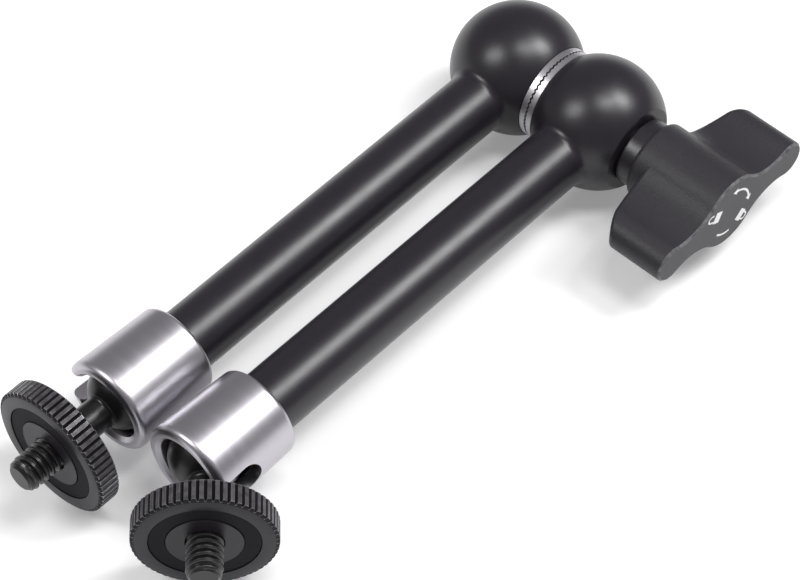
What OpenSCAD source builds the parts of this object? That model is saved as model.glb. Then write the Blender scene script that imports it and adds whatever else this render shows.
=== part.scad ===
// Articulating friction arm: two tubular arms on a toothed elbow, one wing
// knob that locks the elbow and both end balls, and two threaded ball studs.
// It lies folded: the hubs and both thumb wheels rest on the plane z = 0.
// Working frame: x runs along the elbow axis towards the knob, the arms
// point along -y, and z is up.

/* [Hubs] */
// Radius of the ball-shaped hub at the elbow end of each arm
hub_r = 12.55; // [11:0.05:14]
// Distance between the centres of the two hubs
hub_spacing = 19.6; // [18:0.1:24]
// Radius of the bore through each hub that holds its wedge
hub_bore_r = 5.6; // [5.2:0.05:6]
// Distance from the near hub's centre to the flat under the knob
hub_flat = 9.4; // [8.5:0.1:10]
// Depth of the far hub's blind bore beyond its centre
hub_bore_deep = 8.6; // [8.5:0.1:9]

/* [Arms] */
// Outer radius of the arm tubes
tube_r = 6; // [5.5:0.1:7]
// Radius of the fillet between tube and hub
tube_fillet = 1.8; // [0.5:0.1:3]
// Radius of the push rods inside the tubes
rod_r = 2.5; // [1.5:0.1:3]
// Distance from the hub's centre to the centre of the end ball
ball_at = 101.3; // [80:0.1:160]

/* [Elbow rings] */
// Outer radius of the toothed rings
ring_r = 9.18; // [8.8:0.02:9.4]
// Distance from the elbow's middle plane to each hub's inner face
ring_w = 1.4; // [1.1:0.05:2]
// Number of teeth on each ring
teeth = 60; // [40:4:72]
// Height of a tooth
tooth_h = 0.28; // [0.2:0.01:0.35]
// Width of the toothed rim
tooth_rim = 1; // [0.6:0.1:1.4]
// Gap between the tooth tips of the released elbow
tip_gap = 0.04; // [0.02:0.01:0.2]

/* [Wedges and bolt] */
// Radius of the wedge's cone at the hub's centre
cone_r = 3.9; // [3.7:0.05:4.2]
// Rise of the cone for each millimetre along the bolt
cone_slope = 0.7; // [0.5:0.05:0.8]
// Radius of the centre bolt
bolt_r = 2.5; // [2:0.1:2.6]
// Radius of the bolt's head
bolt_head_r = 5; // [4:0.1:5.2]
// Thickness of the bolt's head
bolt_head_h = 2; // [1.5:0.1:2.2]

/* [Wing knob] */
// Distance from the elbow's middle plane to the knob's front face
knob_front = 41.1; // [38:0.1:50]
// Distance from the knob's axis to the end of a wing
wing_reach = 20; // [17:0.5:26]
// Radius of the knob's middle
knob_mid_r = 7.7; // [7.2:0.1:9]
// Half thickness of a wing at its waist
waist_half = 2.85; // [2:0.05:4]
// Distance from the knob's axis to the waist
waist_at = 12; // [11:0.5:13]
// Length of the knob's round barrel behind the wings
barrel_len = 2.95; // [1:0.05:6]
// Radius of the curve at the back of the wings
wing_back_r = 22; // [16:1:40]
// Width of the chamfer round the front face
knob_chamfer = 0.35; // [0.1:0.05:0.6]
// Radius of the collar between hub and knob
collar_r = 6.6; // [6:0.1:7.4]
// Length of the collar's flange
collar_len = 3; // [2:0.1:5]

/* [Sockets] */
// Outer radius of the socket at its mouth
mouth_r = 9.25; // [8.8:0.05:10.5]
// Outer radius of the socket at its back
back_r = 8.6; // [8.2:0.05:10]
// Length of the socket
socket_len = 17.95; // [16:0.05:22]
// Distance from the ball's centre to the mouth
mouth_ahead = 4.94; // [4.5:0.02:6]
// Radius of the hole in the mouth
mouth_hole_r = 6.6; // [6.3:0.05:6.8]
// Width of the slot that lets the stud fold to the side
slot_w = 6.6; // [6.4:0.1:8]

/* [Ball studs] */
// Radius of the end balls
ball_r = 6.6; // [6.4:0.05:7]
// Radius of the stud's neck
neck_r = 3.08; // [2.6:0.02:3.1]
// Radius of the 1/4 inch camera thread
thread_r = 3.175; // [3.1:0.005:3.2]
// Length of thread that stands clear of the thumb wheel
thread_free = 7; // [5:0.5:10]
// Distance from the ball's centre to the thumb wheel's front face
wheel_front = 17.8; // [17:0.1:24]
// Angle at which the near stud is folded to the side
near_fold = 44; // [38:1:60]

/* [Thumb wheels] */
// Radius of a thumb wheel
wheel_r = 12.5; // [11:0.1:13]
// Thickness of a thumb wheel
wheel_h = 4.5; // [3.5:0.1:5]
// Number of grooves in the wheel's rim
wheel_grooves = 60; // [30:2:72]
// Depth of a rim groove
groove_deep = 0.5; // [0.2:0.05:0.7]
// Inner radius of the rubber pad ring
pad_in_r = 6.55; // [5:0.05:7]
// Outer radius of the rubber pad ring
pad_out_r = 9.55; // [8.5:0.05:10]

/* [Fits] */
// Radial clearance of pieces that run in each other
run = 0.05; // [0.02:0.01:0.08]
// Clearance between faces that close up when the knob is tightened
slack = 0.32; // [0.3:0.01:0.45]

/* [Hidden] */

$fn = 96;
eps = 0.01;
seat = 0.02;          // clearance of pieces that sit still in each other
hub_x = hub_spacing / 2;
lie_r = max(hub_r, wheel_r);
stud_len = wheel_front + thread_free;
box_mid_x = (knob_front - hub_x - lie_r) / 2;
box_mid_y = (max(hub_r, wing_reach) - ball_at - stud_len) / 2;

// Places along the elbow axis, measured outwards from a hub's centre
wedge_apart = 4.5;      // from the middle plane to each wedge
wedge_flange_in = wedge_apart - hub_x;
wedge_flange_out = wedge_flange_in + 1.5;
collar_spigot = 2.7;    // length of the collar inside the hub's bore
wedge_end = hub_flat - collar_spigot;
wedge_neck_r = bolt_r + 1.1;
head_gap = 0.05;
head_clear = 0.5;       // behind the bolt's head, which moves as the knob is turned
far_wedge_end = hub_bore_deep - bolt_head_h - head_clear - head_gap;
far_head_at = far_wedge_end + head_gap;

// Places along the elbow axis, measured from the middle plane
spigot_r = 7.6;         // the toothed rings sit on spigots in the hubs
spigot_len = 0.8;
sleeve_half = 3.6;
sleeve_wall = 1.2;
sleeve_run = 0.07;
collar_back = hub_x + hub_flat + slack + 0.1;
collar_front = collar_back + collar_len;
washer_h = 1.2;
washer_r = 5.4;
knob_back = collar_front + 0.1;
insert_back = collar_front + washer_h + 0.1;
insert_len = 10;
insert_r = 4.2;
knob_travel = 1;        // of the knob along the bolt, from loose to tight
bolt_end = insert_back + insert_len - knob_travel - 0.3;

// The knob's outline: round middle, hollow waists and round wing ends,
// each arc tangent to the next
waist_r = (waist_at^2 + waist_half^2 - knob_mid_r^2) / (2 * (knob_mid_r - waist_half));
waist_y = waist_half + waist_r;
wing_far = wing_reach - waist_at;
wing_end_r = (wing_far^2 + waist_y^2 - waist_r^2) / (2 * (waist_r + wing_far));
wing_end_at = wing_reach - wing_end_r;

// Places along an arm, measured from the hub's centre
mouth_at = ball_at + mouth_ahead;
socket_back = mouth_at - socket_len;
cup_floor = 1.9;
cup_rim = 3.6;          // from the ball's centre back to the cup's rim
cup_back = ball_at - slack - ball_r - seat - cup_floor;
cup_front = ball_at - cup_rim;
tube_end = cup_back - 0.2;
rod_tip = cone_r + (rod_r + run) * sqrt(1 + cone_slope^2);
slot_at = ball_at - 0.9;
mouth_bevel = 0.7;
slot_from = 2;          // from the arm's axis to where the slot is cut

// Places along a stud, measured from the ball's centre
neck_fillet = 0.7;
neck_fillet_c = [neck_r + neck_fillet, sqrt((ball_r + neck_fillet)^2 - (neck_r + neck_fillet)^2)];
neck_foot = neck_fillet_c * ball_r / (ball_r + neck_fillet);
stud_hole_r = 2.5;
stud_hole_deep = 1;
thread_at = wheel_front - wheel_h - 0.3;
thread_shows_at = wheel_front + seat;
hidden_thread_r = thread_r - 0.175;     // under the wheel, between crest and root
pad_h = 0.85;

function unit(v) = v / norm(v);
// Outward normal of the line that touches circles (a, ra) and (b, rb) on their outer side
function touch_normal(a, ra, b, rb) =
    let (d = unit(b - a), s = (ra - rb) / norm(b - a))
    s * d + sqrt(1 - s^2) * [d[1], -d[0]];

// Moves a piece from the working frame to the frame with its origin under the middle
module placed() translate([-box_mid_x, -box_mid_y, lie_r]) children();
// z along the elbow axis instead of up
module along_elbow() rotate([0, 90, 0]) children();
// z along the arm, x outwards from the elbow, y up
module near_side() translate([hub_x, 0, 0]) rotate([90, 0, 0]) children();
module far_side() mirror([1, 0, 0]) near_side() children();
// z along the stud from the ball's centre
module near_stud_frame() near_side() translate([0, 0, ball_at]) rotate([0, near_fold, 0]) children();
module far_stud_frame() far_side() translate([0, 0, ball_at]) children();

module ring_solid(r_out, r_in, from, to)
    translate([0, 0, from]) difference() {
        cylinder(r = r_out, h = to - from);
        translate([0, 0, -eps]) cylinder(r = r_in, h = to - from + 2 * eps);
    }

// Arms

// Half outline of hub, fillet and tube
module arm_outline() {
    fillet_c = [tube_r + tube_fillet, sqrt((hub_r + tube_fillet)^2 - (tube_r + tube_fillet)^2)];
    hub_touch = fillet_c * hub_r / (hub_r + tube_fillet);
    intersection() {
        circle(r = hub_r);
        translate([0, -hub_r]) square([hub_r, 2 * hub_r]);
    }
    square([tube_r, tube_end]);
    difference() {
        polygon([[0, 0], hub_touch, fillet_c, [0, fillet_c[1]]]);
        translate(fillet_c) circle(r = tube_fillet);
    }
}

// deep is the end of the wedge bore, measured outwards from the hub's centre
module arm_casting(deep) {
    spigot_seat = ring_w + spigot_len + seat - hub_x;
    difference() {
        rotate_extrude() arm_outline();
        along_elbow() translate([0, 0, -hub_r - 1]) cylinder(r = hub_bore_r, h = hub_r + 1 + deep);
        along_elbow() translate([0, 0, -hub_r - 1]) cylinder(r = hub_r + 1, h = hub_r + 1 - hub_x + ring_w);
        along_elbow() translate([0, 0, -hub_r]) cylinder(r = spigot_r + seat, h = hub_r + spigot_seat);
        cylinder(r = rod_r + run, h = tube_end + 1);
    }
}

module near_arm() color("#2c2c2f") placed() near_side() difference() {
    arm_casting(hub_r + 1);
    along_elbow() translate([0, 0, hub_flat]) cylinder(r = hub_r, h = hub_r);
}

module far_arm() color("#2c2c2f") placed() far_side() arm_casting(hub_bore_deep);

// Toothed rings

// Teeth point to -z, and turn sets them to the gaps of the other ring
module tooth_ring(turn) {
    tips = tip_gap / 2;
    groove_w = 2 * PI * (ring_r - tooth_rim) / teeth;
    edge = 0.12;
    difference() {
        rotate_extrude() polygon([
            [hub_bore_r, tips + tooth_h], [ring_r - tooth_rim, tips + tooth_h], [ring_r - tooth_rim, tips],
            [ring_r, tips], [ring_r, ring_w - edge], [ring_r - edge, ring_w], [spigot_r, ring_w],
            [spigot_r, ring_w + spigot_len], [hub_bore_r, ring_w + spigot_len]]);
        for (i = [0 : teeth - 1])
            rotate([0, 0, (i + turn) * 360 / teeth])
                translate([ring_r - tooth_rim - eps, 0, tips])
                    rotate([90, 0, 90])
                        linear_extrude(tooth_rim + 1)
                            polygon([[-groove_w / 2, 0], [0, tooth_h], [groove_w / 2, 0], [0, -1]]);
    }
}

module near_tooth_ring() color("#c8c6cc") placed() along_elbow() tooth_ring(0);
module far_tooth_ring() color("#c8c6cc") placed() mirror([1, 0, 0]) along_elbow() tooth_ring(0.5);

// Sockets

module socket_outline() {
    back_round = 0.9;
    mouth_round = 1.3;
    b = [back_r - back_round, socket_back + back_round];
    m = [mouth_r - mouth_round, mouth_at - mouth_round];
    n = touch_normal(b, back_round, m, mouth_round);
    translate(b) circle(r = back_round);
    translate(m) circle(r = mouth_round);
    polygon([
        [tube_r + seat, socket_back], [b[0], socket_back], b, b + back_round * n, m + mouth_round * n, m,
        [m[0], mouth_at], [mouth_hole_r + mouth_bevel, mouth_at], [mouth_hole_r, mouth_at - mouth_bevel],
        [tube_r + seat, mouth_at - mouth_bevel]]);
}

// The hollow behind the mouth: a bore for the cup that ends in the ball's round seat
module socket_hollow() {
    hollow_r = ball_r + 2 * seat;
    lip_r = mouth_hole_r - 0.4;
    lip_at = sqrt(hollow_r^2 - lip_r^2);
    rotate_extrude() {
        translate([0, tube_end]) square([hollow_r, ball_at - tube_end]);
        translate([0, ball_at]) intersection() {
            circle(r = hollow_r);
            square([hollow_r, lip_at]);
        }
        polygon([
            [0, ball_at + lip_at - eps], [lip_r, ball_at + lip_at - eps],
            [mouth_hole_r, mouth_at - mouth_bevel], [mouth_hole_r, mouth_at + 1], [0, mouth_at + 1]]);
    }
}

module socket() difference() {
    rotate_extrude() socket_outline();
    socket_hollow();
    translate([slot_from, 0, slot_at]) along_elbow() cylinder(r = slot_w / 2, h = mouth_r);
    translate([slot_from, -slot_w / 2, slot_at]) cube([mouth_r, slot_w, mouth_at]);
}

module near_socket() color("#b9b7bd") placed() near_side() socket();
module far_socket() color("#b9b7bd") placed() far_side() socket();

// Balls and studs

module end_ball() rotate_extrude() difference() {
    intersection() {
        circle(r = ball_r);
        translate([0, -ball_r]) square([ball_r, ball_r + neck_foot[1]]);
    }
    translate([-eps, -stud_hole_deep]) square([stud_hole_r + seat + eps, stud_hole_deep + ball_r]);
}

module near_ball() color("#3a3a3d") placed() near_stud_frame() end_ball();
module far_ball() color("#3a3a3d") placed() far_stud_frame() end_ball();

module stud() rotate_extrude() difference() {
    tip = 0.6;
    polygon([
        [0, seat - stud_hole_deep], [stud_hole_r, seat - stud_hole_deep], [stud_hole_r, neck_foot[1]],
        neck_foot, neck_fillet_c, [neck_r, neck_fillet_c[1]], [neck_r, thread_at],
        [hidden_thread_r, thread_at], [hidden_thread_r, thread_shows_at], [thread_r, thread_shows_at],
        [thread_r, stud_len - tip], [thread_r - tip, stud_len], [0, stud_len]]);
    translate(neck_fillet_c) circle(r = neck_fillet);
}

module near_stud() color("#2a2a2c") placed() near_stud_frame() stud();
module far_stud() color("#2a2a2c") placed() far_stud_frame() stud();

// Thumb wheels

module thumb_wheel() {
    back = wheel_front - wheel_h;
    edge = 0.35;
    groove_w = 0.56;
    difference() {
        intersection() {
            translate([0, 0, back]) linear_extrude(wheel_h) difference() {
                circle(r = wheel_r);
                for (i = [0 : wheel_grooves - 1])
                    rotate((i + 0.5) * 360 / wheel_grooves)
                        polygon([
                            [wheel_r - groove_deep, -groove_w / 5], [wheel_r - groove_deep, groove_w / 5],
                            [wheel_r + groove_deep, groove_w], [wheel_r + groove_deep, -groove_w]]);
            }
            rotate_extrude() polygon([
                [0, back], [wheel_r - groove_deep - edge / 2, back], [wheel_r + edge, back + groove_deep + 1.5 * edge],
                [wheel_r + edge, wheel_front - groove_deep - 1.5 * edge],
                [wheel_r - groove_deep - edge / 2, wheel_front], [0, wheel_front]]);
        }
        cylinder(r = thread_r + run / 2, h = stud_len);
        ring_solid(pad_out_r + run, pad_in_r - run, wheel_front - pad_h - run, wheel_front + 1);
    }
}

module near_thumb_wheel() color("#232325") placed() near_stud_frame() thumb_wheel();
module far_thumb_wheel() color("#232325") placed() far_stud_frame() thumb_wheel();

module pad_ring() ring_solid(pad_out_r, pad_in_r, wheel_front - pad_h, wheel_front - 0.08);

module near_pad_ring() color("#19191a") placed() near_stud_frame() pad_ring();
module far_pad_ring() color("#19191a") placed() far_stud_frame() pad_ring();

// Wing knob

// Calls its child at the centres of the four hollow waists
module at_waists() for (sx = [-1, 1], sy = [-1, 1]) translate([sx * waist_at, sy * waist_y, 0]) children();

module wing_knob() color("#2e2e31") placed() along_elbow() {
    len = knob_front - knob_back;
    shoulder = 0.9;
    inside = 1;
    waist_bite = 0.01;
    to_waist = unit([waist_at, waist_y]);
    end_c = [wing_end_at, 0];
    end_to_waist = unit([waist_at, waist_y] - end_c);
    corner = [
        end_c + (wing_end_r - inside) * end_to_waist, end_c + wing_end_r * end_to_waist,
        knob_mid_r * to_waist, (knob_mid_r - inside) * to_waist];
    translate([0, 0, knob_back]) rotate([0, 0, 90]) difference() {
        union() {
            rotate_extrude() {
                polygon([
                    [0, 0], [knob_mid_r - shoulder, 0], [knob_mid_r - shoulder, shoulder], [knob_mid_r, shoulder],
                    [knob_mid_r, len - knob_chamfer], [knob_mid_r - knob_chamfer, len], [0, len]]);
                translate([knob_mid_r - shoulder, shoulder]) intersection() {
                    circle(r = shoulder);
                    translate([0, -shoulder]) square(shoulder);
                }
            }
            intersection() {
                union() {
                    for (s = [-1, 1]) translate([s * wing_end_at, 0, 0]) {
                        cylinder(r = wing_end_r, h = len - knob_chamfer);
                        translate([0, 0, len - knob_chamfer])
                            cylinder(r1 = wing_end_r, r2 = wing_end_r - knob_chamfer, h = knob_chamfer);
                    }
                    linear_extrude(len) polygon([
                        for (s = [[1, 1], [-1, 1], [-1, -1], [1, -1]], k = s[0] * s[1] > 0 ? [0 : 3] : [3 : -1 : 0])
                            [s[0] * corner[k][0], s[1] * corner[k][1]]]);
                }
                rotate([90, 0, 0]) translate([0, 0, -wing_reach]) linear_extrude(2 * wing_reach) {
                    translate([-knob_mid_r, barrel_len]) square([2 * knob_mid_r, len]);
                    for (s = [-1, 1]) translate([s * knob_mid_r, barrel_len + wing_back_r]) circle(r = wing_back_r);
                }
            }
        }
        at_waists() {
            translate([0, 0, -eps]) cylinder(r = waist_r + waist_bite, h = len);
            translate([0, 0, len - knob_chamfer]) cylinder(
                r1 = waist_r + waist_bite, r2 = waist_r + waist_bite + knob_chamfer + eps, h = knob_chamfer + eps);
        }
        translate([0, 0, -eps]) cylinder(r = washer_r + run, h = insert_back - knob_back);
        translate([0, 0, -eps]) cylinder(r = insert_r + seat, h = insert_back - knob_back + insert_len);
    }
}

module knob_insert() color("#b59a52") placed() along_elbow()
    ring_solid(insert_r, bolt_r + run, insert_back, insert_back + insert_len - seat);

module knob_collar() color("#2e2e31") placed() along_elbow() {
    edge = 0.3;
    rotate_extrude() polygon([
        [bolt_r + run, hub_x + wedge_end], [hub_bore_r - run, hub_x + wedge_end], [hub_bore_r - run, collar_back],
        [collar_r - edge, collar_back], [collar_r, collar_back + edge], [collar_r, collar_front],
        [bolt_r + run, collar_front]]);
}

module thrust_washer() color("#d8d4c8") placed() along_elbow()
    ring_solid(washer_r, bolt_r + run, collar_front, collar_front + washer_h);

// Bolt, wedges, rods and cups

module centre_bolt() color("#8f8f94") placed() along_elbow() {
    head_top = -hub_x - far_head_at;
    translate([0, 0, head_top]) cylinder(r = bolt_r, h = bolt_end - head_top);
    translate([0, 0, head_top - bolt_head_h]) cylinder(r = bolt_head_r, h = bolt_head_h);
}

// z runs outwards from the hub's centre to the wedge's big end
module wedge(end) {
    big_r = hub_bore_r - run;
    rotate_extrude() polygon([
        [bolt_r + run, wedge_flange_in], [big_r, wedge_flange_in], [big_r, wedge_flange_out],
        [wedge_neck_r, wedge_flange_out], [wedge_neck_r, (wedge_neck_r - cone_r) / cone_slope],
        [big_r, (big_r - cone_r) / cone_slope], [big_r, end], [bolt_r + run, end]]);
}

module near_wedge() color("#a8a8ad") placed() near_side() along_elbow() wedge(wedge_end);
module far_wedge() color("#a8a8ad") placed() far_side() along_elbow() wedge(far_wedge_end);

module push_rod() {
    translate([0, 0, rod_tip]) sphere(r = rod_r);
    translate([0, 0, rod_tip]) cylinder(r = rod_r, h = cup_back - rod_tip);
}

module near_push_rod() color("#9a9aa0") placed() near_side() push_rod();
module far_push_rod() color("#9a9aa0") placed() far_side() push_rod();

module ball_cup() rotate_extrude() difference() {
    translate([0, cup_back]) square([ball_r, cup_front - cup_back]);
    translate([0, ball_at - slack]) circle(r = ball_r + seat);
}

module near_ball_cup() color("#c2a35a") placed() near_side() ball_cup();
module far_ball_cup() color("#c2a35a") placed() far_side() ball_cup();

module pivot_sleeve() color("#b8923f") placed() along_elbow()
    ring_solid(hub_bore_r - sleeve_run, hub_bore_r - sleeve_wall, -sleeve_half, sleeve_half);

// Helical spring round the bolt that parts the wedges when the knob is loosened
module release_spring() color("#c9c9cf") placed() along_elbow() {
    wire_r = 0.45;
    coil_r = bolt_r + 0.9;
    turns = 5;
    steps = 20;
    sides = 8;
    half = hub_x + wedge_flange_in - 0.1 - wire_r;
    rows = turns * steps;
    points = [
        for (i = [0 : rows], j = [0 : sides - 1])
            let (a = 360 * i / steps, b = 360 * j / sides, r = coil_r + wire_r * cos(b))
            [r * cos(a), r * sin(a), half * (2 * i / rows - 1) + wire_r * sin(b)]];
    faces = [
        for (i = [0 : rows - 1], j = [0 : sides - 1])
            [i * sides + j, i * sides + (j + 1) % sides, (i + 1) * sides + (j + 1) % sides, (i + 1) * sides + j],
        [for (j = [sides - 1 : -1 : 0]) j],
        [for (j = [0 : sides - 1]) rows * sides + j]];
    polyhedron(points, faces);
}

near_arm();
far_arm();
near_tooth_ring();
far_tooth_ring();
near_socket();
far_socket();
near_ball();
far_ball();
near_stud();
far_stud();
near_thumb_wheel();
far_thumb_wheel();
near_pad_ring();
far_pad_ring();
wing_knob();
knob_insert();
knob_collar();
thrust_washer();
centre_bolt();
near_wedge();
far_wedge();
near_push_rod();
far_push_rod();
near_ball_cup();
far_ball_cup();
pivot_sleeve();
release_spring();
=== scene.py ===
import math

import bmesh
import bpy
from mathutils import Matrix, Vector


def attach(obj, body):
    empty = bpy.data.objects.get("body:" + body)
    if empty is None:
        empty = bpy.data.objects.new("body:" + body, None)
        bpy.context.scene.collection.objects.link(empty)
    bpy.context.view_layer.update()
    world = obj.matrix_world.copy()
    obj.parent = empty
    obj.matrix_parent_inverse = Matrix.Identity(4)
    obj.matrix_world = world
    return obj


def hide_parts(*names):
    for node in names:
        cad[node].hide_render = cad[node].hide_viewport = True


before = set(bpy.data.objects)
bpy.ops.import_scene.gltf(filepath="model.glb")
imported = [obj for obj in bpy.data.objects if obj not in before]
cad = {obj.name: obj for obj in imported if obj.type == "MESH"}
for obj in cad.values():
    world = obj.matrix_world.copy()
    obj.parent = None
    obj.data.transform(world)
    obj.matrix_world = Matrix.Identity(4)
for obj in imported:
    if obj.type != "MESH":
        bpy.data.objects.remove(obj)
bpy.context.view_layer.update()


# Camera
# It looks down on the folded arm from the knob's side, over the two studs, through
# a long lens. It is turned round the upright axis and then tipped down.

def placed(name, data):
    """Puts a camera, a lamp or a mesh into the scene as an object."""
    made = bpy.data.objects.new(name, data)
    bpy.context.scene.collection.objects.link(made)
    return made


side, rise = math.radians(42.79), math.radians(51.91)
camera_at = (0.24596, -0.26541, 0.47383)
camera = placed("camera", bpy.data.cameras.new("camera"))
camera.data.lens = 150.45
camera.data.sensor_width = 36
camera.data.clip_start, camera.data.clip_end = 0.05, 20
right = Vector((math.cos(side), math.sin(side), 0))
up = Vector((-math.sin(side) * math.sin(rise), math.cos(side) * math.sin(rise), math.cos(rise)))
turn = Matrix((right, up, right.cross(up))).transposed().to_4x4()
camera.matrix_world = Matrix.Translation(camera_at) @ turn
bpy.context.scene.camera = camera
bpy.context.scene.view_settings.view_transform = "Standard"


# Floor, world and lamps
# A white sheet of paper in a pale room, under a row of three soft boxes: a bright
# one beyond the far arm, and weaker ones overhead and over the studs.

def node(tree, kind, settings=None, **sockets):
    """Adds a shader node. A socket is named with _ for a space, or by _ and its number."""
    made = tree.nodes.new("ShaderNode" + kind)
    for key, value in (settings or {}).items():
        setattr(made, key, value)
    for key, value in sockets.items():
        socket = made.inputs[int(key[1:]) if key[0] == "_" else key.replace("_", " ")]
        if isinstance(value, bpy.types.NodeSocket):
            tree.links.new(value, socket)
        else:
            socket.default_value = value
    return made


def maths(tree, operation, first, second, clamp=False):
    """Adds a maths node and returns its result."""
    made = node(tree, "Math", {"operation": operation, "use_clamp": clamp}, _0=first, _1=second)
    return made.outputs[0]


def new_material(name):
    material = bpy.data.materials.new(name)
    material.use_nodes = True
    return material, material.node_tree, material.node_tree.nodes["Principled BSDF"]


paper_white, paper_glow, floor_half = 0.78, 0.24, 3
paper, tree, shader = new_material("white_paper")
shader.inputs["Base Color"].default_value = (paper_white, paper_white, paper_white, 1)
shader.inputs["Roughness"].default_value = 0.9
rays = node(tree, "LightPath")
mirrored = maths(tree, "MAXIMUM", rays.outputs["Is Glossy Ray"], rays.outputs["Is Transmission Ray"])
seen = maths(tree, "MAXIMUM", rays.outputs["Is Camera Ray"], mirrored)
glow = node(tree, "Emission", Color=(1, 1, 1, 1), Strength=maths(tree, "MULTIPLY", seen, paper_glow))
both = node(tree, "AddShader", _0=shader.outputs[0], _1=glow.outputs[0])
tree.links.new(both.outputs[0], tree.nodes["Material Output"].inputs["Surface"])
sheet = bpy.data.meshes.new("floor")
corners = [(x * floor_half, y * floor_half, 0) for x, y in ((-1, -1), (1, -1), (1, 1), (-1, 1))]
sheet.from_pydata(corners, [], [(0, 1, 2, 3)])
sheet.materials.append(paper)
floor = placed("floor", sheet)

world = bpy.data.worlds.new("studio")
world.use_nodes = True
world.node_tree.nodes["Background"].inputs["Color"].default_value = (0.98, 0.95, 1, 1)
world.node_tree.nodes["Background"].inputs["Strength"].default_value = 0.27
bpy.context.scene.world = world

lamp_aim, lamp_away = Vector((0, 0.02, 0.01)), 0.6


def soft_box(name, way, along, wide, deep, power):
    """A soft box over the arm in a direction, turned so that its wide side runs along another."""
    lamp = bpy.data.lights.new(name, "AREA")
    lamp.shape = "RECTANGLE"
    lamp.size, lamp.size_y, lamp.energy = wide, deep, power
    z = Vector(way).normalized()
    x = (Vector(along) - z * z.dot(Vector(along))).normalized()
    facing = Matrix((x, z.cross(x), z)).transposed().to_4x4()
    placed(name, lamp).matrix_world = Matrix.Translation(lamp_aim + z * lamp_away) @ facing


soft_box("far_box", way=(0.38, 0.44, 0.81), along=(0.8, 0.3, -0.5), wide=0.24, deep=0.16, power=2.4)
soft_box("top_box", way=(0.21, 0.06, 0.97), along=(0.73, 0.68, 0), wide=0.23, deep=0.13, power=1.3)
soft_box("stud_box", way=(-0.365, -0.549, 0.757), along=(0.73, 0.68, 0), wide=0.24, deep=0.15, power=1.4)


# Arms
# Each arm is one aluminium casting, a ball-shaped hub with its tube, bead-blasted
# and black anodised to a satin finish. The near hub is faced off under the knob.

def group(name, inputs, outputs):
    """Starts a shader node group and returns it with its input and output nodes."""
    made = bpy.data.node_groups.new(name, "ShaderNodeTree")
    for socket, kind in inputs:
        made.interface.new_socket(socket, in_out="INPUT", socket_type="NodeSocket" + kind)
    for socket, kind in outputs:
        made.interface.new_socket(socket, in_out="OUTPUT", socket_type="NodeSocket" + kind)
    return made, made.nodes.new("NodeGroupInput"), made.nodes.new("NodeGroupOutput")


def use(tree, made, **sockets):
    """Places a node group in a material with its own values."""
    holder = node(tree, "Group", {"node_tree": made})
    for key, value in sockets.items():
        holder.inputs[key.replace("_", " ")].default_value = value
    return holder


def ranged(tree, value, start, end, low, high):
    """A value between start and end, mapped to the range from low to high."""
    made = node(tree, "MapRange", Value=value, From_Min=start, From_Max=end, To_Min=low, To_Max=high)
    return made.outputs[0]


# Fine grain of a blasted or moulded surface, with a slow mottle under it
slow_share = 0.04
grain, given, gives = group("grain", [("Scale", "Float")], [("Height", "Float"), ("Mottle", "Float")])
spot = node(grain, "TexCoord").outputs["Object"]
fine = node(grain, "TexNoise", Vector=spot, Scale=given.outputs["Scale"], Detail=3.0, Roughness=0.7)
slow_scale = maths(grain, "MULTIPLY", given.outputs["Scale"], slow_share)
slow = node(grain, "TexNoise", Vector=spot, Scale=slow_scale, Detail=4.0)
grain.links.new(fine.outputs[0], gives.inputs["Height"])
grain.links.new(slow.outputs[0], gives.inputs["Mottle"])

# Rubbed edges and painted shade in hollows: the mesh's edge value, above 0 at an edge, where noise
# breaks it up, and below 0 in a hollow, where it becomes painted shade
wear_and_shade, given, gives = group("edge_wear_and_shade", [("Scale", "Float"), ("Amount", "Float")],
                           [("Mask", "Float"), ("PaintedShade", "Float")])
edge = node(wear_and_shade, "Attribute", {"attribute_name": "edge"}).outputs["Fac"]
spot = node(wear_and_shade, "TexCoord").outputs["Object"]
patch = node(wear_and_shade, "TexNoise", Vector=spot, Scale=given.outputs["Scale"], Detail=5.0)
rough_edge = ranged(wear_and_shade, patch.outputs[0], start=0.35, end=0.7, low=0.25, high=1.0)
rubbed = maths(wear_and_shade, "MULTIPLY", edge, rough_edge)
masked = maths(wear_and_shade, "MULTIPLY", rubbed, given.outputs["Amount"], clamp=True)
# Painted shade: how far below 0 the edge value lies in a hollow, which darkens it
painted_shade = maths(wear_and_shade, "MULTIPLY", edge, -1.0, clamp=True)
wear_and_shade.links.new(masked, gives.inputs["Mask"])
wear_and_shade.links.new(painted_shade, gives.inputs["PaintedShade"])


def mixed(tree, share, low, high):
    """The colour that a share gives between two colours."""
    return node(tree, "Mix", {"data_type": "RGBA"}, _0=share, _6=low, _7=high).outputs[2]


def mottled(tree, colour, spread, share):
    """A colour that wanders between a little darker and a little lighter."""
    low, high = [[c * by for c in colour] + [1] for by in (1 - spread, 1 + spread)]
    return mixed(tree, share, low, high)


def uneven(tree, roughness, share, spread=0.02):
    """A roughness that wanders a little to both sides."""
    return ranged(tree, share, start=0.3, end=0.7, low=roughness - spread, high=roughness + spread)


def surface(tree, shader, colour, gloss, height, deep):
    """Gives the shader its colour, its roughness and the bump of a height."""
    bump = node(tree, "Bump", Strength=1.0, Distance=deep, Height=height)
    tree.links.new(colour, shader.inputs["Base Color"])
    tree.links.new(gloss, shader.inputs["Roughness"])
    tree.links.new(bump.outputs[0], shader.inputs["Normal"])


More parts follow.
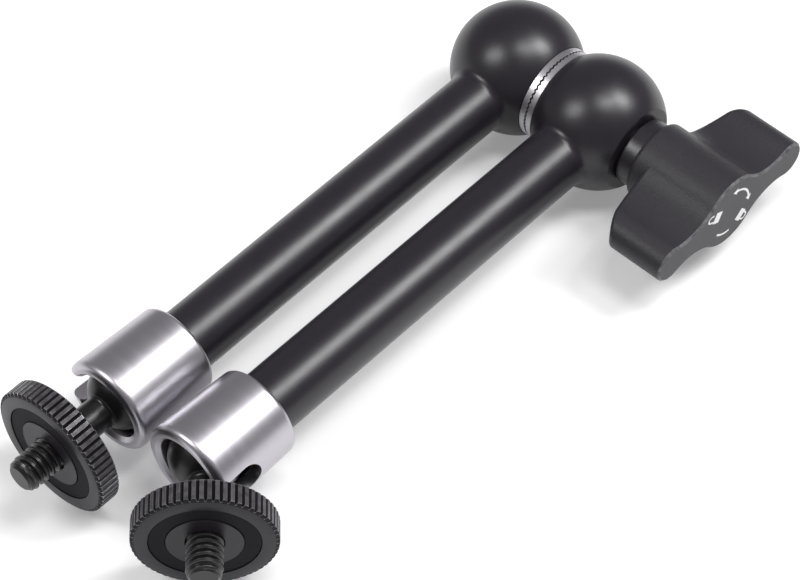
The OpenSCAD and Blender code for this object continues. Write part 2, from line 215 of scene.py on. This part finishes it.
def coated(name, colour, worn, roughness, scale, height, amount, metallic=0.0, shine=0.5, knurled=False):
    """A coated surface: grain bump, mottled colour and gloss, and edges rubbed to another colour.
    On a knurled one the rubbed edges are bare metal, and the hollows are dull and darkened towards near black
    with painted shade."""
    # Near black for the painted shade in the hollows, and the hollows' high roughness
    wear_scale, painted_shade_black, hollow_dull = 900.0, (0.002, 0.002, 0.002, 1), 0.95
    material, tree, shader = new_material(name)
    skin = use(tree, grain, Scale=scale)
    rub_and_shade = use(tree, wear_and_shade, Scale=wear_scale, Amount=amount)
    fresh = mottled(tree, colour, 0.08, skin.outputs["Mottle"])
    shown = mixed(tree, rub_and_shade.outputs["Mask"], fresh, list(worn) + [1])
    gloss = uneven(tree, roughness, skin.outputs["Mottle"])
    shader.inputs["Metallic"].default_value = metallic
    shader.inputs["Specular IOR Level"].default_value = shine
    if knurled:
        shade_share = rub_and_shade.outputs["PaintedShade"]
        # Painted shade darkens the groove floors and the chamfer towards near black
        shown = mixed(tree, shade_share, shown, painted_shade_black)
        gloss = node(tree, "Mix", {"data_type": "FLOAT"}, _0=shade_share, _2=gloss, _3=hollow_dull).outputs[0]
        tree.links.new(rub_and_shade.outputs["Mask"], shader.inputs["Metallic"])
    surface(tree, shader, shown, gloss, skin.outputs["Height"], height)
    return material


def rounded(points):
    """A profile of (radius, height) or (radius, height, corner radius), with its corners rounded.
    A guard point beside each corner keeps the flat next to it flat."""
    guard, steps = 0.05, 5
    out = []
    for i, point in enumerate(points):
        here = Vector(point[:2])
        if len(point) < 3 or i in (0, len(points) - 1):
            out.append(here)
            continue
        back, ahead = Vector(points[i - 1][:2]) - here, Vector(points[i + 1][:2]) - here
        half = back.angle(ahead) / 2
        reach = point[2] / math.tan(half)
        middle = here + (back.normalized() + ahead.normalized()).normalized() * point[2] / math.sin(half)
        first, last = here + back.normalized() * reach, here + ahead.normalized() * reach
        swing = (first - middle).angle_signed(last - middle)
        spoke = first - middle
        if back.length > reach + 2 * guard:
            out.append(first + back.normalized() * guard)
        for k in range(steps + 1):
            a = -swing * k / steps
            across = spoke.x * math.cos(a) - spoke.y * math.sin(a)
            along = spoke.x * math.sin(a) + spoke.y * math.cos(a)
            out.append(middle + Vector((across, along)))
        if ahead.length > reach + 2 * guard:
            out.append(last + ahead.normalized() * guard)
    return out


def row_faces(rows, count):
    """Faces between rows of points, where each row goes round."""
    faces = []
    for i in range(rows - 1):
        for j in range(count):
            k = (j + 1) % count
            faces.append((i * count + j, i * count + k, (i + 1) * count + k, (i + 1) * count + j))
    return faces


def spin(profile, steps=160):
    """Turns a profile of (radius, height) round z."""
    angles = [math.tau * j / steps for j in range(steps)]
    verts = [(p[0] * math.cos(a), p[0] * math.sin(a), p[1]) for p in profile for a in angles]
    return verts, row_faces(len(profile), steps)


def arc(centre, radius, start, end, steps):
    """Points of an arc in the profile's plane, angles in degrees from the radius direction."""
    angles = [math.radians(start + (end - start) * k / steps) for k in range(steps + 1)]
    return [(centre[0] + radius * math.cos(a), centre[1] + radius * math.sin(a)) for a in angles]


def joined(*shells):
    """Puts several shells of vertices and faces together as one."""
    verts, faces = [], []
    for v, f in shells:
        faces += [tuple(i + len(verts) for i in face) for face in f]
        verts += [tuple(p) for p in v]
    return verts, faces


def piece(name, shell, place, finish, body, *covers, crease=32, edges=None):
    """Makes a mesh in millimetres at its place, with an edge value for each vertex if given.
    It rides on a body and covers CAD nodes. The finish is a material."""
    mesh = bpy.data.meshes.new(name)
    mesh.from_pydata([place @ Vector(v) for v in shell[0]], [], shell[1])
    work = bmesh.new()
    work.from_mesh(mesh)
    if edges:
        layer = work.verts.layers.float.new("edge")
        for vert, value in zip(work.verts, edges):
            vert[layer] = value
    bmesh.ops.remove_doubles(work, verts=work.verts, dist=1e-7)
    bmesh.ops.recalc_face_normals(work, faces=work.faces)
    work.to_mesh(mesh)
    work.free()
    mesh.shade_smooth()
    mesh.set_sharp_from_angle(angle=math.radians(crease))
    mesh.materials.append(finish[0])
    made = placed(name, mesh)
    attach(made, body)
    if covers:
        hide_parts(*covers)
    return made


# From here on sizes are in millimetres. The axis places have z out along the elbow axis
# from its middle plane, and the line places have z along an arm from its hub's centre.
hub_r, hub_x, hub_flat, ring_w, tube_r, fillet = 12.55, 9.8, 9.4, 1.4, 6.0, 1.8
mid_x, mid_y = 9.375, -53.05
shift = Matrix.Translation((-mid_x / 1000, -mid_y / 1000, hub_r / 1000)) @ Matrix.Scale(0.001, 4)
near_axis = shift @ Matrix(((0, 0, 1, 0), (0, 1, 0, 0), (-1, 0, 0, 0), (0, 0, 0, 1)))
far_axis = shift @ Matrix(((0, 0, -1, 0), (0, 1, 0, 0), (1, 0, 0, 0), (0, 0, 0, 1)))
near_line = shift @ Matrix(((1, 0, 0, hub_x), (0, 0, -1, 0), (0, 1, 0, 0), (0, 0, 0, 1)))
far_line = shift @ Matrix(((-1, 0, 0, -hub_x), (0, 0, -1, 0), (0, -1, 0, 0), (0, 0, 0, 1)))

satin_black = coated(
    "satin_black_anodised", colour=(0.0128, 0.011, 0.0148), worn=(0.11, 0.11, 0.12), roughness=0.34,
    scale=9000.0, height=0.000008, amount=0.5), "black_anodised"
face_in, seat_r, seat_end = 7.6, 5.65, 14
face_at = math.degrees(math.asin((hub_x - ring_w) / hub_r))
flat_at = math.degrees(math.asin(hub_flat / hub_r))
hub_face = [(face_in, ring_w), (hub_r * math.cos(math.radians(face_at)), ring_w, 0.12)]
near_hub = hub_face + arc((0, hub_x), hub_r, -face_at, flat_at, 90)[1:-1]
near_hub += [(hub_r * math.cos(math.radians(flat_at)), hub_x + hub_flat, 0.25)]
near_hub += [(seat_r, hub_x + hub_flat, 0.15), (seat_r, seat_end)]
far_hub = hub_face + arc((0, hub_x), hub_r, -face_at, 90, 120)[1:]

# The tube starts just under the hub's surface and grows out of it in a fillet
under, tube_end = 0.002, 93
foot = (tube_r + fillet, math.sqrt((hub_r + fillet) ** 2 - (tube_r + fillet) ** 2))
foot_at = math.degrees(math.atan2(foot[1], foot[0]))
tube = arc((0, 0), hub_r - under, foot_at - 4, foot_at, 3)[:-1]
tube += arc(foot, fillet, foot_at + 180, 180, 16)
tube += [(tube_r, height) for height in (foot[1] + 0.4, 30, 60, tube_end)]
for name, axis, line, hub in (("near", near_axis, near_line, near_hub),
                              ("far", far_axis, far_line, far_hub)):
    hub_shell, stem = spin(rounded(hub), 192), spin(tube)
    moved = [axis.inverted() @ line @ Vector(v) for v in stem[0]]
    shell = joined(hub_shell, (moved, stem[1]))
    piece(name + "_arm_casting", shell, axis, satin_black, name + "_arm", name + "_arm")


# Toothed rings
# Two hardened steel rings, turned bright and pressed into the hubs. Their face teeth
# mesh when the knob draws the arms together.

# Tool lines of turned metal, which run round the piece's own axis
stretch, wide_share = 0.02, 0.12
turned, given, gives = group("turned", [("Fineness", "Float")], [("Height", "Float"), ("Streak", "Float")])
fineness = given.outputs["Fineness"]
lathe = node(turned, "Attribute", {"attribute_name": "lathe"}).outputs["Vector"]
drawn = node(turned, "VectorMath", {"operation": "MULTIPLY"}, _0=lathe, _1=(1.0, 1.0, stretch)).outputs[0]
lines = node(turned, "TexNoise", Vector=drawn, Scale=fineness, Detail=4.0, Roughness=0.7)
wide = maths(turned, "MULTIPLY", fineness, wide_share)
bands = node(turned, "TexNoise", Vector=drawn, Scale=wide, Detail=2.0)
turned.links.new(lines.outputs[0], gives.inputs["Height"])
turned.links.new(bands.outputs[0], gives.inputs["Streak"])


def bare_metal(name, colour, roughness, fineness, height):
    """Turned or plated metal: tool lines round the axis, streaks in its gloss, and a mottled colour."""
    material, tree, shader = new_material(name)
    marks = use(tree, turned, Fineness=fineness)
    skin = use(tree, grain, Scale=3000.0)
    tone = mottled(tree, colour, 0.03, skin.outputs["Mottle"])
    gloss = uneven(tree, roughness, marks.outputs["Streak"])
    shader.inputs["Metallic"].default_value = 1.0
    surface(tree, shader, tone, gloss, marks.outputs["Height"], height)
    return material


def mark_lathe(made, place):
    """Stores each vertex's radius, height and angle about the piece's own axis, in millimetres."""
    layer = made.data.attributes.new("lathe", "FLOAT_VECTOR", "POINT")
    back = place.inverted()
    for vert, slot in zip(made.data.vertices, layer.data):
        p = back @ vert.co
        slot.vector = (math.hypot(p.x, p.y), p.z, math.atan2(p.y, p.x) * 10)


def column_faces(columns, count):
    """Faces between columns of points, where the columns go round."""
    faces = []
    for i in range(columns):
        here, beside = i * count, (i + 1) % columns * count
        faces += [(here + k, here + k + 1, beside + k + 1, beside + k) for k in range(count - 1)]
    return faces


bright_steel = bare_metal(
    "bright_turned_steel", colour=(0.52, 0.51, 0.53), roughness=0.38, fineness=9.0,
    height=0.0000015), "bright_steel"
ring_r, ring_in, rim, rim_bevel, back_bevel = 9.18, 7.4, 1.0, 0.06, 0.1
teeth, tooth_h, tips, tooth_steps = 60, 0.28, 0.02, 8
columns = teeth * tooth_steps
for name, place, offset in (("near", near_axis, 0.0), ("far", far_axis, 0.5)):
    verts = []
    for j in range(columns):
        share, angle = j / tooth_steps - offset, math.tau * j / columns
        tooth = tips + tooth_h * (1 - abs(share - round(share)) * 2)
        column = [(ring_r - rim, tips + tooth_h), (ring_r - rim, tooth), (ring_r - rim_bevel, tooth)]
        column += [(ring_r, tooth + rim_bevel), (ring_r, tooth + 0.1), (ring_r, ring_w - 0.12)]
        column += [(ring_r, ring_w - back_bevel), (ring_r - back_bevel, ring_w), (ring_in, ring_w)]
        verts += [(r * math.cos(angle), r * math.sin(angle), z) for r, z in column]
    shell = verts, column_faces(columns, len(column))
    made = piece(name + "_toothed_ring", shell, place, bright_steel, name + "_arm", name + "_tooth_ring",
                 crease=25)
    mark_lathe(made, place)


# Sockets
# Turned brass sockets with satin nickel plate, screwed onto the tubes. The mouth is
# rolled in over the ball, and a slot lets the stud fold outwards.

satin_nickel = bare_metal(
    "satin_nickel_plate", colour=(0.5, 0.49, 0.52), roughness=0.35, fineness=8.0,
    height=0.0000001), "satin_nickel"
ball_at, mouth_at, socket_back, tube_fit = 101.3, 106.24, 88.29, 6.03
back_r, mouth_r, mouth_hole, mouth_bevel, hollow_r, lip_r = 8.6, 9.25, 6.6, 0.7, 6.64, 6.2
slot_half, slot_deep, slot_from, slot_to, slot_bevel = 3.3, 0.9, 2, 14, 0.15
socket_steps, socket_crease = 192, 38


def slot_block(line):
    """The closed block that the slot takes out of a socket, with a round floor under the neck."""
    outline = arc((0, ball_at - slot_deep), slot_half, 0, -180, 32)
    outline += [(-slot_half, mouth_at + 3), (slot_half, mouth_at + 3)]
    count = len(outline)
    walls = [(x, y, z) for x in (slot_from, slot_to) for y, z in outline]
    sides = [tuple(range(count)), tuple(range(2 * count - 1, count - 1, -1))]
    sides += [(k, (k + 1) % count, count + (k + 1) % count, count + k) for k in range(count)]
    block = bpy.data.meshes.new("slot_block")
    block.from_pydata([line @ Vector(v) for v in walls], [], sides)
    work = bmesh.new()
    work.from_mesh(block)
    bmesh.ops.recalc_face_normals(work, faces=work.faces)
    work.to_mesh(block)
    work.free()
    return block


def cut(made, block, bevel):
    """Cuts a block out of a piece, bevels the new edges, and keeps the result as its mesh."""
    cutter = placed("cutter", block)
    bpy.context.view_layer.update()
    less = made.modifiers.new("cut", "BOOLEAN")
    less.operation, less.solver, less.object = "DIFFERENCE", "EXACT", cutter
    soft = made.modifiers.new("bevel", "BEVEL")
    soft.width, soft.segments = bevel / 1000, 3
    soft.limit_method, soft.angle_limit = "ANGLE", math.radians(40)
    done = bpy.data.meshes.new_from_object(made.evaluated_get(bpy.context.evaluated_depsgraph_get()))
    made.modifiers.clear()
    old = made.data
    made.data = done
    bpy.data.meshes.remove(old)
    bpy.data.objects.remove(cutter)
    done.name = made.name


lip_at = ball_at + math.sqrt(hollow_r ** 2 - lip_r ** 2)
lip_angle = math.degrees(math.acos(lip_r / hollow_r))
seat_from = socket_back + 4
socket_profile = rounded([
    (tube_fit, seat_from), (tube_fit, socket_back, 0.1), (back_r, socket_back, 0.9), (mouth_r, mouth_at, 1.3),
    (mouth_hole + mouth_bevel, mouth_at, 0.1), (mouth_hole, mouth_at - mouth_bevel, 0.1), (lip_r, lip_at)]
    + arc((0, ball_at), hollow_r, lip_angle, 0, 8)[1:] + [(hollow_r, seat_from)])
for name, line in (("near", near_line), ("far", far_line)):
    verts, faces = spin(socket_profile, socket_steps)
    last = len(verts) - socket_steps
    for j in range(socket_steps):
        k = (j + 1) % socket_steps
        faces.append((last + j, last + k, k, j))
    made = piece(name + "_end_socket", (verts, faces), line, satin_nickel, name + "_arm", name + "_socket",
                 crease=socket_crease)
    cut(made, slot_block(line), slot_bevel)
    made.data.shade_smooth()
    made.data.set_sharp_from_angle(angle=math.radians(socket_crease))
    mark_lathe(made, line)


# Balls and studs
# Each ball stud is turned from steel and black oxidised: a ball, a short neck with
# a fillet, and a 1/4 inch thread, 20 to the inch, with a plain chamfered tip.

near_tilt = math.radians(44)
near_pin = near_line @ Matrix.Translation((0, 0, ball_at)) @ Matrix.Rotation(near_tilt, 4, "Y")
far_pin = far_line @ Matrix.Translation((0, 0, ball_at))
black_oxide = coated(
    "black_oxide_steel", colour=(0.013, 0.0127, 0.0135), worn=(0.16, 0.16, 0.165), roughness=0.3,
    scale=5000.0, height=0.000006, amount=0.8, metallic=0.3), "black_oxide"
ball_r, ball_rows, ball_steps = 6.6, 90, 128
neck_r, neck_fillet, neck_end, relief_r, relief_end = 3.08, 0.7, 13.2, 3.0, 17.2
thread_r, root_r, plain_r, pitch, thread_from, stud_len = 3.175, 2.58, 2.92, 1.27, 17.1, 24.8
tip_r, tip_plain, run_out_len, crest, root, rows_a_turn, steps = 2.3, 0.8, 0.6, 0.3, 0.84, 20, 96

bend = (neck_r + neck_fillet, math.sqrt((ball_r + neck_fillet) ** 2 - (neck_r + neck_fillet) ** 2))
bend_at = math.degrees(math.atan2(bend[1], bend[0]))
ball_profile = arc((0, 0), ball_r, -90, bend_at - 0.6, ball_rows) + [(2.6, 5.6)]
# A lighter ring painted round the ball at the neck's fillet: a painted highlight of the edge there
ball_painted_glint = [float(i // ball_steps == ball_rows) for i in range(len(ball_profile) * ball_steps)]
neck_profile = arc(bend, neck_fillet, bend_at + 180, 180, 10)
neck_profile += [(neck_r, height) for height in (7, 10, neck_end)]
neck_profile += [(relief_r, height) for height in (neck_end, relief_end)]


def thread_radius(share):
    """Radius over one pitch: a flat root, two flanks 60 degrees apart and a flat crest."""
    flank = (abs((share % 1) - 0.5) * 2 - crest) / (root - crest)
    return thread_r - (thread_r - root_r) * min(1, max(0, flank))


def thread_rubbed(share):
    """Edge value over one pitch: rubbed along both borders of the crest."""
    from_middle = abs((share % 1) - 0.5) * 2
    return max(0.2 * (from_middle < crest), 1 - abs(from_middle - crest) * rows_a_turn / 2)


count = int((stud_len - thread_from) / pitch * rows_a_turn) + rows_a_turn + 2
verts, faces, wear_and_shade_at = [], [], []
for i in range(count):
    for j in range(steps):
        height = thread_from - pitch + pitch * (i / rows_a_turn + j / steps)
        run_out = min(1, max(0, (stud_len - tip_plain - height) / run_out_len))
        level = min(stud_len, max(thread_from, height))
        radius = min(plain_r + (thread_radius(i / rows_a_turn) - plain_r) * run_out, tip_r + stud_len - level)
        angle = math.tau * j / steps
        verts.append((radius * math.cos(angle), radius * math.sin(angle), level))
        wear_and_shade_at.append(thread_rubbed(i / rows_a_turn) * (thread_from < height < stud_len - 0.2))
for i in range(count - 1):
    for j in range(steps):
        k = (j + 1) % steps
        over = i + (rows_a_turn if k == 0 else 0)
        if over + 1 < count:
            faces.append((i * steps + j, over * steps + k, (over + 1) * steps + k, (i + 1) * steps + j))
tip = spin([(tip_r, stud_len), (tip_r - 0.1, stud_len), (0.0, stud_len)], steps)
neck = spin(neck_profile, steps)
stud = joined(neck, (verts, faces), tip)
wear_and_shade_at = [float(i < steps) for i in range(len(neck[0]))] + wear_and_shade_at + [0.0] * len(tip[0])
ball = spin(ball_profile, ball_steps)
for name, pin in (("near", near_pin), ("far", far_pin)):
    piece(name + "_end_ball", ball, pin, black_oxide, name + "_ball", name + "_ball",
          crease=60, edges=ball_painted_glint)
    piece(name + "_threaded_stud", stud, pin, black_oxide, name + "_stud", name + "_stud",
          crease=40, edges=wear_and_shade_at)


# Thumb wheels
# Aluminium nuts that clamp what is screwed onto the stud: straight-knurled with
# V grooves, chamfered on both edges, blasted and anodised matte black.

matte_black = coated(
    "matte_black_wheel", colour=(0.0195, 0.0175, 0.022), worn=(0.38, 0.37, 0.39), roughness=0.34,
    scale=7000.0, height=0.00001, amount=0.85, shine=0.27, knurled=True), "black_wheel"
wheel_front, wheel_h, wheel_r, bore_r, pad_in, pad_out, pad_floor = 17.8, 4.5, 12.5, 3.2, 6.55, 9.55, 0.6
grooves, groove_deep, rim_from, chamfer_from, chamfer_slope = 60, 0.5, 9.7, 11.85, 0.6
wheel_back = wheel_front - wheel_h

# Half a groove's width as shares of the pitch, each with the groove's depth and edge value
# there: its floor, its wall, its rubbed lip and the land. The edge values below 0 paint shade
# into the floor and the foot of the wall.
half_groove = [
    (0.0, 1.0, -1), (0.07, 1.0, -1), (0.1, 0.93, -0.9), (0.235, 0.08, 0),
    (0.255, 0.0, 0.9), (0.3, 0.0, 0.25), (0.4, 0.0, 0.25)]
groove = half_groove + [(1 - share, deep, value) for share, deep, value in half_groove[:0:-1]]
front_face = rounded([
    (rim_from, wheel_front), (pad_out, wheel_front, 0.05), (pad_out, wheel_front - pad_floor),
    (pad_in, wheel_front - pad_floor), (pad_in, wheel_front, 0.05), (bore_r + 0.15, wheel_front, 0.15),
    (bore_r, wheel_front - 1)])
back_face = rounded([
    (rim_from, wheel_back), (6, wheel_back), (bore_r + 0.2, wheel_back, 0.15), (bore_r, wheel_back + 1)])
verts, wear_and_shade_at = [], []
for j in range(grooves):
    for share, deep, value in groove:
        out = wheel_r - groove_deep * deep
        drop = chamfer_slope * (out - chamfer_from)
        # Each column runs over the face, then the chamfer, darkened with painted shade, then the rubbed lip,
        # and down the knurl
        column = [(rim_from, 0, 0), (chamfer_from - 0.05, 0, 0), (chamfer_from, 0.02, -0.5)]
        column += [(out - 0.1, drop - 0.06, -0.7), (out - 0.03, drop - 0.01, 1), (out, drop + 0.03, 1)]
        column += [(out, drop + 0.14, value), (out, wheel_h / 2, value)]
        angle = math.tau * (j + share + 0.5) / grooves
        for r, z, wear_and_shade_here in column:
            verts.append((r * math.cos(angle), r * math.sin(angle), wheel_front - z))
            wear_and_shade_at.append(wear_and_shade_here)
        for r, z, wear_and_shade_here in column[-2::-1]:
            verts.append((r * math.cos(angle), r * math.sin(angle), wheel_back + z))
            wear_and_shade_at.append(wear_and_shade_here)
faces = column_faces(grooves * len(groove), 2 * len(column) - 1)
wheel = joined((verts, faces), spin(front_face, 128), spin(back_face, 128))
wear_and_shade_at += [0.0] * (len(wheel[0]) - len(wear_and_shade_at))
for name, pin in (("near", near_pin), ("far", far_pin)):
    piece(name + "_knurled_wheel", wheel, pin, matte_black, name + "_wheel", name + "_thumb_wheel",
          crease=24, edges=wear_and_shade_at)


# Pad rings
# Black rubber rings pressed into a groove of each wheel's front face, so that the
# wheel grips what it clamps.

rubber = coated(
    "black_rubber", colour=(0.0072, 0.0063, 0.0081), worn=(0.02, 0.02, 0.021), roughness=0.62,
    scale=4000.0, height=0.00002, amount=0.0, shine=0.12), "rubber_pad"
pad_gap, pad_base, pad_top = 0.08, wheel_front - 0.57, wheel_front - 0.14
pad = rounded([(pad_in + pad_gap, pad_base), (pad_in + pad_gap, pad_top, 0.12),
               (pad_out - pad_gap, pad_top, 0.12), (pad_out - pad_gap, pad_base)])
for name, pin in (("near", near_pin), ("far", far_pin)):
    piece(name + "_rubber_pad", spin(pad, 128), pin, rubber, name + "_pad", name + "_pad_ring")


# Wing knob
# One aluminium casting with two wings, black with a fine grain. Its front edge is
# chamfered and its round barrel runs on the collar.

grained_black = coated(
    "grained_black_knob", colour=(0.0255, 0.024, 0.028), worn=(0.26, 0.26, 0.27), roughness=0.4,
    scale=2600.0, height=0.00007, amount=0.6, shine=0.28), "black_knob"
knob_front, barrel_from, barrel_bore, wing_from, wing_back_r, mid_r = 41.1, 22.725, 5.5, 25.65, 22.0, 7.7
waist_at, waist_half, reach, chamfer, back_round = 12.0, 2.85, 20.0, 0.38, 0.75
waist_r = (waist_at ** 2 + waist_half ** 2 - mid_r ** 2) / (2 * (mid_r - waist_half))
waist_y = waist_half + waist_r
end_r = ((reach - waist_at) ** 2 + waist_y ** 2 - waist_r ** 2) / (2 * (waist_r + reach - waist_at))
end_at = reach - end_r

# The outline's round middle, hollow waist and round wing end, first for one quarter
first = math.degrees(math.atan2(waist_y, waist_at))
last = math.degrees(math.atan2(waist_y, waist_at - end_at))
quarter = arc((0, 0), mid_r, 90, first, 16)[:-1]
quarter += arc((waist_at, waist_y), waist_r, first + 180, last + 180, 30)[:-1]
quarter += arc((end_at, 0), end_r, last, 0, 20)
loop = quarter + [(x, -y) for x, y in quarter[-2::-1]]
loop += [(-x, y) for x, y in loop[-2:0:-1]]
count = len(loop)
outward = []
for i in range(count):
    way = (Vector(loop[(i + 1) % count]) - Vector(loop[i - 1])).normalized()
    outward.append(Vector((-way.y, way.x)))


def inset(inward):
    """The knob's outline, moved inwards."""
    return [(p[0] - inward * n.x, p[1] - inward * n.y) for p, n in zip(loop, outward)]


def wing_back(x):
    """Height of the wings' rounded back at a distance along them."""
    past = max(0.0, abs(x) - mid_r)
    return wing_from + wing_back_r - math.sqrt(wing_back_r ** 2 - past ** 2)


front_edge = rounded([(2.0, 0), (chamfer, 0, 0.12), (0, chamfer, 0.12), (0, 3)])
back_edge = rounded([(0, 3), (0, 0, back_round), (2.0, 0)])
rings = [[(x, y, knob_front - deep) for x, y in inset(inward)] for inward, deep in front_edge]
rings += [[(x, y, wing_back(x) + deep) for x, y in inset(inward)] for inward, deep in back_edge]
border = rings[-1]
rings += [[(x, y * share, wing_back(x)) for x, y, _ in border] for share in (0.5, 0.0)]
verts = [(y, x, z) for ring in rings for x, y, z in ring]
faces = row_faces(len(rings), count) + [tuple(range(count))]
barrel_r = mid_r - under
barrel = spin(rounded([
    (barrel_bore, barrel_from + 1), (barrel_bore, barrel_from, 0.1), (barrel_r, barrel_from, 0.9),
    (barrel_r, wing_from + 0.4), (barrel_r, wing_from + 2)]))
shell = joined((verts, faces), barrel)
piece("wing_knob_casting", shell, near_axis, grained_black, "knob", "wing_knob", crease=30,
      edges=[float(knob_front - chamfer - 0.04 < v[2] < knob_front - 0.001) for v in shell[0]])


# Print on the knob
# White pad print on the front face: an arc with two arrow heads, a plain arc, and an
# open and a closed padlock where the knob frees and locks the arm.

ink_material, tree, shader = new_material("white_print")
skin = use(tree, grain, Scale=6000.0)
ink = mixed(tree, skin.outputs["Mottle"], (0.8, 0.8, 0.8, 1), (0.92, 0.92, 0.92, 1))
ink_gloss = ranged(tree, skin.outputs["Height"], start=0, end=1, low=0.45, high=0.6)
tree.links.new(ink, shader.inputs["Base Color"])
tree.links.new(ink_gloss, shader.inputs["Roughness"])
white_ink = ink_material, "nylon"
print_r, half_line, half_bow, ink_h = 4.85, 0.23, 0.19, 0.006


def ribbon(points, half):
    """A flat line of even width through the points, as vertices and faces."""
    verts = []
    for i, p in enumerate(points):
        a, b = Vector(points[max(0, i - 1)]), Vector(points[min(len(points) - 1, i + 1)])
        n = Vector((-(b - a).y, (b - a).x)).normalized() * half
        verts += [(p[0] + n.x, p[1] + n.y), (p[0] - n.x, p[1] - n.y)]
    return verts, [(2 * i, 2 * i + 1, 2 * i + 3, 2 * i + 2) for i in range(len(points) - 1)]


def ways(at):
    """The directions outwards and onwards at an angle, in degrees, on the print's circle."""
    a = math.radians(at)
    return Vector((math.cos(a), math.sin(a))), Vector((-math.sin(a), math.cos(a)))


def arrow_head(at, turned_to, head_len=1.35, head_half=0.75):
    """A triangle on the print's circle that points round it, at an angle in degrees."""
    out, way = ways(at)
    base = out * print_r
    corners = [base + way * turned_to * head_len, base + out * head_half, base - out * head_half]
    return [tuple(corner) for corner in corners], [(0, 1, 2)]


def padlock(at, opened):
    """A padlock with its foot towards the knob's axis, its shackle lifted on one side if opened."""
    out, way = ways(at)
    half, foot, top, bow_half, bow_at, sunk_to = 1.25, -1.35, 0.45, 0.75, 0.95, 0.4
    lift = 0.6 if opened else 0.0
    shackle = [(-bow_half, sunk_to)] + arc((0, bow_at + lift), bow_half, 180, 0, 10)
    shackle += [(bow_half, 1.15 if opened else sunk_to)]
    plate = [(-half, foot), (half, foot), (half, top), (-half, top)], [(0, 1, 2, 3)]
    verts, faces = joined(ribbon(shackle, half_bow), plate)
    return [tuple(out * (print_r + v[1]) - way * v[0]) for v in verts], faces


marks = joined(
    ribbon(arc((0, 0), print_r, 6, 74, 24), half_line), arrow_head(74, 1), arrow_head(6, -1),
    ribbon(arc((0, 0), print_r, -138, -91, 16), half_line), padlock(154, True), padlock(-48, False))
flat = [(-v[1], v[0], knob_front + ink_h) for v in marks[0]]
piece("knob_print", (flat, marks[1]), near_axis, white_ink, "knob")


# Collar and thrust washer
# A black anodised aluminium collar carries the knob on the hub's flat, with a nylon
# washer between them so that the knob turns freely under load.

def dress(names, material):
    """Gives CAD nodes that are kept as they are their material."""
    for name in names:
        cad[name].data.materials.clear()
        cad[name].data.materials.append(material)


collar_r, flange_r, flange_from, collar_top = 5.5, 6.6, 19.62, 22.62
collar = rounded([(collar_r, 17), (collar_r, flange_from), (flange_r, flange_from, 0.3),
                  (flange_r, collar_top, 0.08), (3, collar_top)])
piece("knob_bearing_collar", spin(collar, 128), near_axis, satin_black, "collar", "knob_collar")
nylon = coated(
    "white_nylon", colour=(0.75, 0.73, 0.66), worn=(0.8, 0.78, 0.7), roughness=0.5,
    scale=3000.0, height=0.00001, amount=0.0)
dress(["thrust_washer"], nylon)


# Pieces inside the arms
# The centre bolt, wedges and push rods are turned steel; the knob's insert, the ball
# cups and the pivot sleeve are brass; the spring is wound from steel wire.

steel = bare_metal(
    "plain_turned_steel", colour=(0.42, 0.42, 0.44), roughness=0.34, fineness=3.0, height=0.000006)
brass = bare_metal(
    "plain_turned_brass", colour=(0.6, 0.43, 0.19), roughness=0.32, fineness=3.0, height=0.000006)
dress(["centre_bolt", "near_wedge", "far_wedge", "near_push_rod", "far_push_rod", "release_spring"], steel)
dress(["knob_insert", "near_ball_cup", "far_ball_cup", "pivot_sleeve"], brass)
